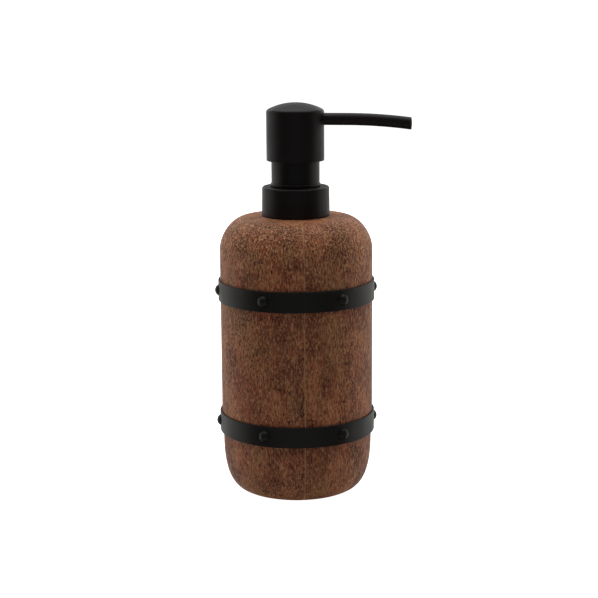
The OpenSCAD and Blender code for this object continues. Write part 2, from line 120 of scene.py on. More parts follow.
def squared_arc(centre, across, tall, power, start, end, points=400):
    """Point t is centre + (across * |cos t| ^ (2 / power), tall * |sin t| ^ (2 / power)), each
    with the sign of its cosine or sine: an ellipse at power 2, and squarer above it."""
    t = np.radians(np.linspace(start, end, points))
    c, s = np.cos(t), np.sin(t)
    x = np.sign(c) * np.abs(c) ** (2 / power)
    y = np.sign(s) * np.abs(s) ** (2 / power)
    return np.array(centre) + np.stack([across * x, tall * y], -1)


def evened(line, step):
    """The same line with points at equal distances along it, at most a step apart."""
    along = np.concatenate([[0], np.cumsum(np.linalg.norm(np.diff(line, axis=0), axis=1))])
    at = np.linspace(0, along[-1], max(2, math.ceil(along[-1] / step) + 1))
    return np.stack([np.interp(at, along, line[:, k]) for k in (0, 1)], -1)


print("a rounded square corner has", len(rounded([(0, 0), (1, 0), (1, 1)], [0.2])), "points")

# %% [markdown]
# ## From grids of points to a mesh
#
# Every new surface is a grid. Its rows run along an outline or a path and its columns run
# round it, and neighbouring points are joined by four-sided faces. A row whose points all fall
# on one spot, such as the top of a dome, becomes one pole. The signed volume tells which way
# the faces point, so a surface that came out inside out is turned round.


# %% Grids become a piece
def skin(name, grids, loop_rows=False, sharp=50):
    """grid[i, j] is row i and column j; columns loop, and rows loop if asked. The signed
    volume is the sum of a . (b x c) / 6 over the triangles a, b, c of each face."""
    places, faces, total, first = [], [], 0.0, 0
    for grid in grids:
        rows, columns = grid.shape[:2]
        index = np.arange(rows * columns).reshape(rows, columns)
        if not loop_rows:
            for row in (0, rows - 1):
                if np.ptp(grid[row], axis=0).max() < 1e-9:
                    index[row] = index[row, 0]
        below = index if loop_rows else index[:-1]
        above = np.roll(index, -1, 0) if loop_rows else index[1:]
        quads = np.stack([below, np.roll(below, -1, 1), np.roll(above, -1, 1), above], -1)
        quads = quads.reshape(-1, 4)
        a, b, c, d = (grid.reshape(-1, 3)[quads[:, k]] for k in range(4))
        volume = (np.sum(a * np.cross(b, c)) + np.sum(a * np.cross(c, d))) / 6
        quads = quads if volume > 0 else quads[:, ::-1]
        used, compact = np.unique(quads, return_inverse=True)
        places.append(grid.reshape(-1, 3)[used])
        faces += [list(dict.fromkeys(face)) for face in (compact.reshape(-1, 4) + first).tolist()]
        total, first = total + abs(volume), first + len(used)
    mesh = bpy.data.meshes.new(name)
    mesh.from_pydata(np.vstack(places).tolist(), [], faces)
    mesh.shade_smooth()
    mesh.set_sharp_from_angle(angle=math.radians(sharp))
    piece = bpy.data.objects.new(name, mesh)
    bpy.context.scene.collection.objects.link(piece)
    print(name, "has", len(faces), "faces round", round(total / MM**3), "mm3")
    return piece


def round_angles(n):
    """Angle j is 2 pi j / n."""
    return np.arange(n) * 2 * math.pi / n


def turned(outline, n=144):
    """Point (i, j) is (r_i * cos angle_j, r_i * sin angle_j, z_i): the outline swept round Z."""
    angles, r, z = round_angles(n), outline[:, :1], outline[:, 1:]
    return np.stack([r * np.cos(angles), r * np.sin(angles), z + 0 * angles], -1)


def settle(piece, body, nodes, material):
    """Rides the piece on its body, in place of its nodes, with its finish."""
    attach(piece, body)
    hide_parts(*nodes)
    piece.data.materials.append(material)


# %% [markdown]
# ## Colour and node helpers
#
# Colours are written as the hex codes of a paint chart and turned to the linear light that the
# renderer works in. One small function adds a shader node with its settings and its links.


# %% Linear colour and the node adder
def linear(code):
    """Each channel c becomes c / 12.92 up to 0.04045, and ((c + 0.055) / 1.055) ^ 2.4 above."""
    c = np.array([int(code[i:i + 2], 16) for i in (1, 3, 5)]) / 255
    return (*np.where(c <= 0.04045, c / 12.92, ((c + 0.055) / 1.055) ** 2.4).tolist(), 1.0)


def add(tree, kind, settings=(), links=()):
    """Adds a node. A setting is one of its properties or a socket's value, and a link is the
    output that feeds a socket."""
    node = tree.nodes.new("ShaderNode" + kind)
    for key, value in dict(settings).items():
        if isinstance(key, str) and hasattr(node, key):
            setattr(node, key, value)
        else:
            node.inputs[key].default_value = value
    for key, source in dict(links).items():
        tree.links.new(source, node.inputs[key])
    return node


def start_material(name):
    """A new material, its node tree, and the place on the object in millimetres, so that the
    pattern scales below are all per millimetre."""
    material = bpy.data.materials.new(name)
    material.use_nodes = True
    tree = material.node_tree
    tree.nodes.clear()
    metres = add(tree, "TexCoord").outputs["Object"]
    place = add(tree, "VectorMath", {"operation": "SCALE", "Scale": 1 / MM}, {0: metres}).outputs[0]
    return material, tree, place


def shade(tree, settings, links):
    """The material's shader, with its settings and links, feeding the output."""
    shader = add(tree, "BsdfPrincipled", settings, links)
    add(tree, "OutputMaterial", links={"Surface": shader.outputs[0]})


print("a mid grey is", round(linear("#808080")[0], 3), "in linear light")

# %% [markdown]
# ## Stained mango wood
#
# The barrel is mango wood, turned on a lathe, stained reddish brown and closed with a satin
# lacquer. Mango has coarse open vessels that run up the trunk. The stain sits dark in some and
# leaves others pale, so the side shows short dark and tan dashes, and the shoulder, where the
# vessels come out end on, shows dots. A solid pattern does both by itself: noise in three
# dimensions, stretched along Z, with the turned surface cutting through it. Two blanks are
# glued side by side before turning, and their glue plane shows as one thin pale line down the
# front and another down the back.

# %% The two blanks and their glue plane
GLUE_ANGLE = math.radians(-75.2)
GLUE_NORMAL = (-math.sin(GLUE_ANGLE), math.cos(GLUE_ANGLE), 0)
BLANKS_APART, SWAY = (31, 17, 53), (3.0, 3.0, 0.0)
print("the glue line is", round(math.degrees(GLUE_ANGLE), 1), "degrees round from the spout")


def place_in_trunk(tree, place):
    """The distance across the glue plane is the dot product with its normal. Past the plane the
    place in the trunk jumps by BLANKS_APART, and slow noise times SWAY bends the fibres."""
    across = add(tree, "VectorMath", {"operation": "DOT_PRODUCT", 1: GLUE_NORMAL}, {0: place})
    across = across.outputs["Value"]
    second = add(tree, "Math", {"operation": "GREATER_THAN", 1: 0.0}, {0: across}).outputs[0]
    jump = add(tree, "VectorMath", {"operation": "SCALE", 0: BLANKS_APART}, {"Scale": second})
    blank = add(tree, "VectorMath", {"operation": "ADD"}, {0: place, 1: jump.outputs[0]}).outputs[0]
    slow = add(tree, "TexNoise", {"Scale": 0.12, "Detail": 2.0}, {"Vector": blank}).outputs["Color"]
    bent = add(tree, "VectorMath", {"operation": "MULTIPLY_ADD", 1: SWAY}, {0: slow, 2: blank})
    return across, bent.outputs[0]


# %% [markdown]
# Every feature of the wood is a noise of its own size, stretched up the trunk, and a mask cut
# from it. The first table gives each noise, and the second says between which two values the
# noise becomes each mask. Mango's vessels are 0.2 mm wide and a few millimetres long. They're
# drawn 0.5 mm wide, as coarse as they need to show.

# %% Sizes of the wood's features
# Each noise: waves per mm across the trunk, their share along it, detail, offset, waviness.
GRAIN = {
    "fibres": (1.6, 0.04, 3.0, (5, 3, 2), 0.0),
    "vessels": (1.7, 0.26, 3.0, (71, -23, 9), 0.6),
    "pores": (1.4, 0.5, 2.0, (-14, 6, 31), 0.0),
    "crowds": (0.11, 0.6, 3.0, (9, 0, 4), 0.0),
    "red": (0.09, 0.6, 4.0, (-37, 59, 4), 0.0),
    "brown": (0.08, 0.6, 3.0, (13, -41, 27), 0.0),
    "soot": (0.5, 0.4, 3.0, (2, 8, -6), 0.0),
    "tan": (0.07, 0.5, 3.0, (22, 47, -35), 0.0),
    "glue": (0.5, 0.4, 2.0, (0, 0, 0), 0.0),
}
# Each mask: the noise it is cut from, the value where it starts, the value where it is full.
MASKS = {
    "fibres": ("fibres", 0.36, 0.66), "pale vessels": ("vessels", 0.52, 0.61),
    "dark vessels": ("vessels", 0.47, 0.37), "pores": ("pores", 0.53, 0.62),
    "crowds": ("crowds", 0.4, 0.6), "red": ("red", 0.46, 0.62), "brown": ("brown", 0.42, 0.62),
    "soot": ("soot", 0.42, 0.6), "tan": ("tan", 0.5, 0.66), "glue": ("glue", 0.3, 0.5),
}
print("the wood has", len(GRAIN), "noises and", len(MASKS), "masks")


# %% The noises and their masks
def grain_masks(tree, trunk, pooled):
    """Each noise reads (x, y, z * share) + offset, and each mask rises smoothly from 0 to 1
    between its two values. The red stain gathers where it pooled, so that is added to it."""
    noises, masks = {}, {}
    for name, (scale, share, detail, offset, wavy) in GRAIN.items():
        spot = {"Location": offset, "Scale": (1, 1, share)}
        stretched = add(tree, "Mapping", spot, {"Vector": trunk}).outputs[0]
        looks = {"Scale": scale, "Detail": detail, "Roughness": 0.62, "Distortion": wavy}
        noises[name] = add(tree, "TexNoise", looks, {"Vector": stretched}).outputs["Fac"]
    noises["red"] = add(tree, "Math", {"operation": "ADD"}, {0: noises["red"], 1: pooled}).outputs[0]
    for name, (noise, start, full) in MASKS.items():
        edges = {"From Min": start, "From Max": full, "interpolation_type": "SMOOTHSTEP"}
        masks[name] = add(tree, "MapRange", edges, {"Value": noises[noise]}).outputs[0]
    return noises["vessels"], masks


# %% [markdown]
# Some features keep to a place. The stain pools red beside the hoops, where the rag can't reach
# well. The vessels stand open on the shoulder's end grain, and in one coarse patch at the left
# of the front. The glue shows only close to its plane.

# %% Where the features keep to, in millimetres
HOOP_MIDDLES = [(low(hoop) + high(hoop)) / 2 / MM for hoop in ("upper_hoop", "lower_hoop")]
COARSE_PATCH = (-26, -27, 75)
# Each ramp: the distance at which it starts, the one at which it is full, and its full value.
RAMPS = {
    "pooled": (15, 5, 0.11), "shoulder": (110, 126, 1.0), "patch": (29, 15, 1.0),
    "glue": (0.36, 0.18, 1.0),
}
print("the hoops' middles are", [round(z, 1) for z in HOOP_MIDDLES], "mm above the table")


def wood_ramps(tree, place, across):
    """Straight ramps along a distance: from the middle of the nearer hoop, above the table,
    from the coarse patch's middle, and from the glue plane."""
    height = add(tree, "SeparateXYZ", {}, {"Vector": place}).outputs["Z"]
    offsets = [across]
    for z in HOOP_MIDDLES:
        offsets.append(add(tree, "Math", {"operation": "SUBTRACT", 1: z}, {0: height}).outputs[0])
    gaps = [add(tree, "Math", {"operation": "ABSOLUTE"}, {0: gap}).outputs[0] for gap in offsets]
    off_hoop = add(tree, "Math", {"operation": "MINIMUM"}, {0: gaps[1], 1: gaps[2]}).outputs[0]
    off_patch = add(tree, "VectorMath", {"operation": "DISTANCE", 1: COARSE_PATCH}, {0: place})
    distances = {
        "pooled": off_hoop, "shoulder": height, "patch": off_patch.outputs["Value"], "glue": gaps[0]}
    ramps = {}
    for name, (start, full, most) in RAMPS.items():
        ends = {"From Min": start, "From Max": full, "To Max": most}
        ramps[name] = add(tree, "MapRange", ends, {"Value": distances[name]}).outputs[0]
    return ramps


# %% Stained mango wood
WOOD_LAYERS = [
    ("red", "#a25238", 0.75), ("brown", "#7c442c", 0.65), ("soot", "#5f3423", 0.3),
    ("tan", "#a3744c", 0.6), ("pale vessels", "#deb080", 1.0), ("dark vessels", "#542f1d", 0.64),
    ("pores", "#34190f", 0.9), ("glue", "#c2946a", 0.9)]


def stained_wood():
    """The fibres are mixed from two tans. Each layer then lies over what is under it, by its
    strength times its mask. The dark vessels are pits, and soot dulls the lacquer."""
    material, tree, place = start_material("Stained mango wood, satin lacquer")
    across, trunk = place_in_trunk(tree, place)
    ramps = wood_ramps(tree, place, across)
    vessels, masks = grain_masks(tree, trunk, ramps["pooled"])
    crowd = masks["crowds"]
    for more in (ramps["shoulder"], ramps["patch"]):
        crowd = add(tree, "Math", {"operation": "MAXIMUM"}, {0: crowd, 1: more}).outputs[0]
    side_to_top = {"To Min": 0.52, "To Max": 0.92}
    bright = add(tree, "MapRange", side_to_top, {"Value": ramps["shoulder"]}).outputs[0]
    kept_to = {"soot": masks["brown"], "pale vessels": bright, "pores": crowd, "glue": ramps["glue"]}
    for name, where in kept_to.items():
        both = add(tree, "Math", {"operation": "MULTIPLY"}, {0: masks[name], 1: where})
        masks[name] = both.outputs[0]

    tans = {"data_type": "RGBA", 6: linear("#ac6545"), 7: linear("#ce845b")}
    colour = add(tree, "Mix", tans, {0: masks["fibres"]}).outputs[2]
    for name, code, strength in WOOD_LAYERS:
        much = add(tree, "Math", {"operation": "MULTIPLY", 1: strength}, {0: masks[name]}).outputs[0]
        layer = {"data_type": "RGBA", 7: linear(code)}
        colour = add(tree, "Mix", layer, {0: much, 6: colour}).outputs[2]

    dark = {0: masks["dark vessels"], 2: vessels}
    pits = add(tree, "Math", {"operation": "MULTIPLY_ADD", 1: -1.0}, dark).outputs[0]
    bump = add(tree, "Bump", {"Strength": 0.5, "Distance": 0.08 * MM}, {"Height": pits}).outputs[0]
    rough = add(tree, "MapRange", {"To Min": 0.55, "To Max": 0.65}, {"Value": masks["soot"]}).outputs[0]
    lacquer = {"IOR": 1.5, "Specular IOR Level": 0.2}
    shade(tree, lacquer, {"Base Color": colour, "Roughness": rough, "Normal": bump})
    return material


STAINED_WOOD = stained_wood()
print("made", STAINED_WOOD.name)

# %% [markdown]
# ## The turned barrel
#
# The barrel is one closed wall: the outside from the foot to the neck's hole, and the bore
# inside. It could be a stock cylinder with bevels, but the shoulder and foot are fuller than a
# bevel's quarter circle, so the outline is drawn with squared arcs and swept round. A wooden
# surface also isn't perfectly true. The wood shrinks a little less along the ray than across
# it and the tool eases off, so the radius wanders by a few hundredths of a millimetre.


# %% The barrel's outline
def outside_line():
    """The foot's squared arc, the straight side, and the shoulder's squared arc."""
    foot_wide, foot_tall, foot_inset = 15 * MM, 30.4 * MM, 0.6 * MM
    foot_centre = (BARREL_R - foot_inset - foot_wide, PLUG_FOOT + foot_tall)
    foot = squared_arc(foot_centre, foot_wide, foot_tall, 2.87, -90, 0)
    top_wide, top_tall, top_drop = 12.3 * MM, 15.5 * MM, 0.35 * MM
    top_centre = (BARREL_R - top_wide, BARREL_TOP - top_drop - top_tall)
    shoulder = squared_arc(top_centre, top_wide, top_tall, 1.74, 0, 90)
    belt = np.array([[BARREL_R, low("lower_hoop") + 1 * MM]])
    return np.vstack([foot, belt, shoulder])


def split_at(line, r):
    """The foot's line inside and outside the radius r, with the point at r in both."""
    k = int(np.argmax(line[:, 0] > r))
    share = (r - line[k - 1, 0]) / (line[k, 0] - line[k - 1, 0])
    here = line[k - 1] + share * (line[k] - line[k - 1])
    return np.vstack([line[:k], [here]]), np.vstack([[here], line[k:]])


plug_line = split_at(outside_line(), PLUG_R)[0]
barrel_line = split_at(outside_line(), BORE_R)[1]
print("the wood meets the plug", round(barrel_line[0, 1] / MM, 2), "mm above the table")


# %% The barrel's surface
BARREL_COLUMNS, DRIFT = 240, 0.03 * MM


def barrel_wall():
    """Outline swept round, with the outside drawn in by DRIFT * (1 + wander) / 2, where wander
    is the mean of three slow sines of angle and height. The few points nearest the plug make
    way for the small round there."""
    hole_r, flat_r, bore_top, by_plug = 14.6 * MM, 16.6 * MM, BARREL_TOP - 13.2 * MM, 5
    outside = evened(barrel_line[by_plug:], 0.9 * MM)
    crown = rounded(
        [outside[-1], (flat_r, BARREL_TOP), (hole_r, BARREL_TOP), (hole_r, bore_top),
         (BORE_R, bore_top), (BORE_R, barrel_line[0, 1]), barrel_line[by_plug]],
        [3 * MM, 0.4 * MM, 0.4 * MM, 6 * MM, 0.15 * MM])
    outline = np.vstack([outside, crown[1:-1]])
    points = turned(outline, BARREL_COLUMNS)
    angle, z = round_angles(BARREL_COLUMNS), outline[:, 1:] / MM
    twice, thrice = np.sin(2 * angle + 0.7 + 0.02 * z), np.sin(3 * angle + 1.9 - 0.05 * z)
    wander = (twice + thrice + np.sin(0.11 * z)) / 3
    outer = (np.arange(len(outline)) < len(outside))[:, None]
    drawn_in = outer * DRIFT * (1 + wander) / 2
    points[..., :2] *= (1 - drawn_in / outline[:, :1])[..., None]
    return points


barrel = skin("turned_barrel", [barrel_wall()], loop_rows=True)
settle(barrel, "bottle", ["wood_barrel"], STAINED_WOOD)

# %% [markdown]
# ## The base plug
#
# A turned barrel can only take its liner from one end. The liner goes in from below, and a
# plug of the same wood is glued in after it. The plug carries on the foot's curve, and a fine
# groove shows where it meets the barrel. Its recess holds the anti-slip pad.

# %% The base plug
recess_r = 19.05 * MM
pad_seat = [(0, high("base_pad")), (recess_r, high("base_pad"))]
plug_curve = evened(np.vstack([[(recess_r, PLUG_FOOT)], plug_line]), 0.8 * MM)
rim = rounded([*pad_seat, plug_curve[0], plug_curve[1]], [0.1 * MM, 0.3 * MM])
edge = rounded(
    [plug_curve[-2], plug_curve[-1], (PLUG_R, PLUG_TOP), (0, PLUG_TOP)], [0.15 * MM, 0.5 * MM])
plug = skin("base_plug_turned", [turned(np.vstack([rim[:-1], plug_curve[1:-2], edge]))])
settle(plug, "bottle", ["base_plug"], STAINED_WOOD)

# %% [markdown]
# ## Satin black powder coat
#
# The hoops, the rivets, the collar and the pump's head and spout are mild steel and zinc under
# black powder. Powder melts into a skin that is satin, very dark and faintly dimpled, like
# orange peel at about half a millimetre. Its colour is even, so what the eye reads is the soft
# highlight, which the dimples and a slow change of gloss break up.


# %% Powder coat and its look on each metal
def powder_coat(name, code, gloss, shine, peel=1.6):
    """Dimples of 1 / peel mm, a gloss that changes over 9 mm, and dust-sized specks."""
    material, tree, place = start_material(name)
    skin_noise = {"Scale": peel, "Detail": 2.0, "Roughness": 0.5}
    dimples = add(tree, "TexNoise", skin_noise, {"Vector": place}).outputs["Fac"]
    bump = add(tree, "Bump", {"Strength": 0.35, "Distance": 0.03 * MM}, {"Height": dimples}).outputs[0]
    cloud = add(tree, "TexNoise", {"Scale": 0.11, "Detail": 4.0}, {"Vector": place}).outputs["Fac"]
    spread = {"From Min": 0.3, "From Max": 0.7, "To Min": gloss - 0.05, "To Max": gloss + 0.05}
    rough = add(tree, "MapRange", spread, {"Value": cloud}).outputs[0]
    speck = add(tree, "TexNoise", {"Scale": 3.1, "Detail": 3.0}, {"Vector": place}).outputs["Fac"]
    dust = add(tree, "MapRange", {"From Min": 0.5, "From Max": 0.75}, {"Value": speck}).outputs[0]
    blacks = {"data_type": "RGBA", 6: linear(code), 7: linear("#282422")}
    colour = add(tree, "Mix", blacks, {0: dust}).outputs[2]
    powder = {"IOR": 1.5, "Specular IOR Level": shine}
    shade(tree, powder, {"Base Color": colour, "Roughness": rough, "Normal": bump})
    return material


HOOP_COAT = powder_coat("Black powder coat on hoop steel", "#161412", 0.44, 0.24)
PUMP_COAT = powder_coat("Black powder coat on the pump's metal", "#1c1717", 0.4, 0.15, peel=2.0)
print("made", HOOP_COAT.name, "and", PUMP_COAT.name)

# %% [markdown]
# ## The two hoops
#
# Each hoop is a strip of steel, 10 mm by 1 mm, bent round the barrel until its ends meet
# midway between two rivets. The strip is a rounded rectangle carried round a circle, and its
# two ends are rounded over and closed, so the butt joint is a real gap.

# %% Sizes of the strip and its joint
RIVETS, FIRST_RIVET = 6, 14.5
RIVET_TURNS = np.radians(FIRST_RIVET + 360 / RIVETS * np.arange(RIVETS))
HOOP_JOINT = math.radians(FIRST_RIVET + 1.5 * 360 / RIVETS)
JOINT_GAP = 0.6 * MM / HOOP_R
print("the joint opens", round(math.degrees(JOINT_GAP), 2), "degrees")


# %% The hoop's surface
def hoop_strip(node):
    """Column j is a point of the strip's section, and row i is an angle round the barrel. At
    each end the section is drawn in by e * (1 - sin u) over the length e * (1 - cos u)."""
    foot, top, inner, over = low(node), high(node), BARREL_R, 0.25 * MM
    middle = np.array([(inner + HOOP_R) / 2, (foot + top) / 2])
    half = np.array([HOOP_R - inner, top - foot]) / 2
    loop = rounded(
        [(inner, middle[1]), (inner, foot), (HOOP_R, foot), (HOOP_R, top), (inner, top),
         (inner, middle[1])],
        [0.15 * MM, 0.3 * MM, 0.3 * MM, 0.15 * MM])[:-1]
    u = np.radians([0, 0, 22, 45, 67, 90])
    drawn_in = over * (1 - np.sin(u))[:, None, None]
    ends = middle + (loop - middle) * (1 - drawn_in / half)
    ends[0] = middle
    near = over * (1 - np.cos(u)) / HOOP_R
    start, stop = HOOP_JOINT + JOINT_GAP / 2, HOOP_JOINT + 2 * math.pi - JOINT_GAP / 2
    run = np.linspace(start + near[-1], stop - near[-1], 361)[1:-1]
    angles = np.concatenate([start + near, run, (stop - near)[::-1]])[:, None]
    section = np.concatenate([ends, np.repeat(loop[None], len(run), 0), ends[::-1]])
    r, z = section[..., 0], section[..., 1]
    return np.stack([r * np.cos(angles), r * np.sin(angles), z], -1)


for node in ("upper_hoop", "lower_hoop"):
    strip = skin(node + "_strip", [hoop_strip(node)])
    settle(strip, "bottle", [node], HOOP_COAT)

# %% [markdown]
# ## The rivets
#
# Six domed rivets hold each hoop. A rivet is a shallow dome with a softened edge on a shank
# that goes through the strip into the wood. Its outline is swept round its own axis, and the
# six are placed round the hoop in one array, as one piece.


# %% Rivets round a hoop
def rivet_heads(node):
    """Along the axis a and at distance p from it, point (i, j) is
    axis * a_i + (side * cos b_j + up * sin b_j) * p_i, for each rivet's axis and side."""
    head_r, tall, seat, shank_r = 2.8 * MM, 1.7 * MM, HOOP_R, 1.2 * MM
    under, tip = seat - 0.12 * MM, seat - 5.5 * MM
    ball_r = (head_r**2 + tall**2) / (2 * tall)
    lean = np.linspace(0, math.asin(head_r * 0.96 / ball_r), 12)
    dome = np.stack([seat + tall - ball_r * (1 - np.cos(lean)), ball_r * np.sin(lean)], -1)
    edge = rounded(
        [dome[-1], (seat + 0.05 * MM, head_r), (under, head_r), (under, shank_r),
         (tip, shank_r), (tip, 0)],
        [0.15 * MM, 0.02 * MM, 0.02 * MM, 0.2 * MM])
    outline = np.vstack([dome, edge[1:]])
    a, p = outline[:, 0, None, None], outline[:, 1, None, None]
    sides, z = 28, (low(node) + high(node)) / 2
    b = round_angles(sides)[None, :, None]
    c, s = np.cos(RIVET_TURNS), np.sin(RIVET_TURNS)
    axis = np.stack([c, s, 0 * c], -1)[:, None, None]
    side = np.stack([-s, c, 0 * c], -1)[:, None, None]
    up = np.array([0, 0, 1.0])
    return list(axis * a + (side * np.cos(b) + up * np.sin(b)) * p + up * z)


for node in ("upper_hoop_rivets", "lower_hoop_rivets"):
    heads = skin(node.replace("hoop_rivets", "rivet_heads"), rivet_heads(node))
    settle(heads, "bottle", [node], HOOP_COAT)

# %% [markdown]
# ## The collar shell
#
# The collar is a cup of thin metal pressed over the screw cap. Its top edge has the generous
# round that a press die leaves, its side leans in slightly so that it leaves the die, and its
# foot is turned clean.

# %% The collar shell
collar_foot, collar_top, collar_r = low("collar_shell"), high("collar_shell"), radius("collar_shell")
collar_inner, collar_lean, sleeve_hole = collar_r - 1.0 * MM, 0.2 * MM, 12.0 * MM
collar_under, collar_middle = collar_top - 0.8 * MM, (collar_foot + collar_top) / 2
collar_loop = rounded(
    [(collar_inner, collar_middle), (collar_inner, collar_foot), (collar_r, collar_foot),
     (collar_r - collar_lean, collar_top), (sleeve_hole, collar_top), (sleeve_hole, collar_under),
     (collar_inner, collar_under), (collar_inner, collar_middle)],
    [0.15 * MM, 0.3 * MM, 1.0 * MM, 0.25 * MM, 0.1 * MM, 0.3 * MM], arc_points=9)[:-1]
collar = skin("collar_pressing", [turned(collar_loop)], loop_rows=True)
settle(collar, "closure", ["collar_shell"], PUMP_COAT)

# %% [markdown]
# ## The guide sleeve
#
# The sleeve is a black polypropylene tube that the head slides over. A small bead at its foot
# hides the collar's hole. It is moulded, so its edges are softly rounded.


# %% Moulded plastics
def moulded(name, code, other, gloss, grain=4.0, soft=0.0, shine=0.45):
    """A moulded plastic: a spark-eroded grain of 1 / grain mm, slow flow marks in colour and
    gloss, and some light scattered under the skin of the ones without pigment."""
    material, tree, place = start_material(name)
    fine = add(tree, "TexNoise", {"Scale": grain, "Detail": 2.0}, {"Vector": place}).outputs["Fac"]
    bump = add(tree, "Bump", {"Strength": 0.25, "Distance": 0.015 * MM}, {"Height": fine}).outputs[0]
    flow = add(tree, "Mapping", {"Scale": (1, 1, 0.25)}, {"Vector": place}).outputs[0]
    curls = {"Scale": 0.3, "Detail": 3.0, "Distortion": 0.6}
    marks = add(tree, "TexNoise", curls, {"Vector": flow}).outputs["Fac"]
    two = {"data_type": "RGBA", 6: linear(code), 7: linear(other)}
    colour = add(tree, "Mix", two, {0: marks}).outputs[2]
    spread = {"From Min": 0.3, "From Max": 0.7, "To Min": gloss - 0.06, "To Max": gloss + 0.06}
    rough = add(tree, "MapRange", spread, {"Value": marks}).outputs[0]
    resin = {"IOR": 1.49, "Specular IOR Level": shine}
    depth = {"Subsurface Weight": soft, "Subsurface Scale": 0.8 * MM}
    shade(tree, {**resin, **depth}, {"Base Color": colour, "Roughness": rough, "Normal": bump})
    return material


BLACK_PP = moulded("Black polypropylene, satin moulded", "#141111", "#1b1716", 0.42, shine=0.2)
print("made", BLACK_PP.name)

# %% The guide sleeve
sleeve_foot, sleeve_top = low("guide_sleeve"), high("guide_sleeve")
bead_out, bead_half, bead_gap = 0.5 * MM, 0.75 * MM, 0.1 * MM
sleeve_r = radius("guide_sleeve") - bead_out
sleeve_bore = sleeve_r - 0.8 * MM
bead_z = collar_top + bead_gap + bead_half
bead = evened(squared_arc((sleeve_r, bead_z), bead_out, bead_half, 2.6, -90, 90), 0.12 * MM)
bore_low, bore_high = sleeve_foot + 3 * MM, sleeve_top - 3 * MM
sleeve_side = rounded(
    [(sleeve_bore, bore_low), (sleeve_bore, sleeve_foot), (sleeve_r, sleeve_foot), bead[0]],
    [0.15 * MM, 0.15 * MM])
sleeve_lip = rounded(
    [bead[-1], (sleeve_r, sleeve_top), (sleeve_bore, sleeve_top), (sleeve_bore, bore_high)],
    [0.35 * MM, 0.3 * MM])
sleeve_outline = np.vstack([sleeve_side[:-1], bead, sleeve_lip[1:]])
sleeve = skin("guide_sleeve_moulding", [turned(sleeve_outline)], loop_rows=True)
settle(sleeve, "pump_body", ["guide_sleeve"], BLACK_PP)

# %% [markdown]
# ## The domed head
#
# The head is a deep-drawn cup with a shallow domed top. The dome is part of a sphere, and it
# meets the side in a tight round. The circle that touches both the side and the sphere from
# inside has its centre at the side's radius less its own, and at the sphere's radius less its
# own from the sphere's centre, which gives its place exactly.


# %% The head's outline
def dome_line(side_r, ball_r, ball_z, edge_r, foot_z, points=26):
    """The side from its foot, the edge's arc from 0 to the lean of the touching point, and
    the sphere from there up to its pole."""
    rise_z = math.sqrt((ball_r - edge_r) ** 2 - (side_r - edge_r) ** 2)
    centre = np.array([side_r - edge_r, ball_z + rise_z])
    lean = math.atan2(centre[1] - ball_z, centre[0])
    turn = np.linspace(0, lean, 9)
    arc = centre + edge_r * np.stack([np.cos(turn), np.sin(turn)], -1)
    rise = np.linspace(lean, math.pi / 2, points)[1:]
    ball = np.array([0, ball_z]) + ball_r * np.stack([np.cos(rise), np.sin(rise)], -1)
    ball[-1, 0] = 0
    return np.vstack([[(side_r, foot_z)], arc, ball])


head_foot, head_top, head_r = low("head_shell"), high("head_shell"), radius("head_shell")
head_wall, dome_h = 1.0 * MM, 3.1 * MM
dome_rim = head_r - head_wall
ball_r = (dome_rim**2 + dome_h**2) / (2 * dome_h)
head_outer = dome_line(head_r, ball_r, head_top - ball_r, 1.7 * MM, head_foot)
head_inner = dome_line(dome_rim, ball_r - head_wall, head_top - ball_r, 0.3 * MM, head_foot)
print("the dome's sphere has a radius of", round(ball_r / MM, 2), "mm")

# %% The head's shell
skirt = rounded([head_inner[1], head_inner[0], head_outer[0], head_outer[1]], [0.2 * MM, 0.35 * MM])
head_outline = np.vstack([head_inner[:0:-1], skirt[1:-1], head_outer[1:]])
head = skin("domed_head", [turned(head_outline)])
settle(head, "head", ["head_shell"], PUMP_COAT)

# %% [markdown]
# ## The spout
#
# The spout is a steel tube, pushed into the head and bent down a little along its outer half.
# Its skin runs out along the outside, over a rounded lip, back along the bore and closes at
# the root. Where it enters the head, the powder coat bridges the corner with a small fillet.
# The head's side is curved, so the fillet's rows follow that curve.


# %% The spout's path
SPOUT_R, SPOUT_BORE, BEND_X, BEND_R, TIP_CUT = 2.95 * MM, 1.9 * MM, 26 * MM, 240 * MM, 3 * MM
spout_z = high("spout_tube") - SPOUT_R
spout_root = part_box("spout_tube")[0].x
spout_lean = math.asin((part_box("spout_tube")[1].x - BEND_X) / BEND_R)
spout_run = BEND_X + BEND_R * spout_lean


def spout_point(s, r, b):
    """s is measured from the pump's axis. Up to the bend the centre is (s, 0, z). Past it the
    centre is (x + R sin a, 0, z - R (1 - cos a)) with a = (s - x) / R, and up leans by a."""
    s, r, b = np.broadcast_arrays(s, r, b)
    a = np.maximum(s - BEND_X, 0) / BEND_R
    x = np.minimum(s, BEND_X) + BEND_R * np.sin(a)
    z = spout_z - BEND_R * (1 - np.cos(a))
    return np.stack([x + r * np.cos(b) * np.sin(a), r * np.sin(b), z + r * np.cos(b) * np.cos(a)], -1)


print("the spout runs", round((spout_run - spout_root) / MM, 1), "mm along its middle")


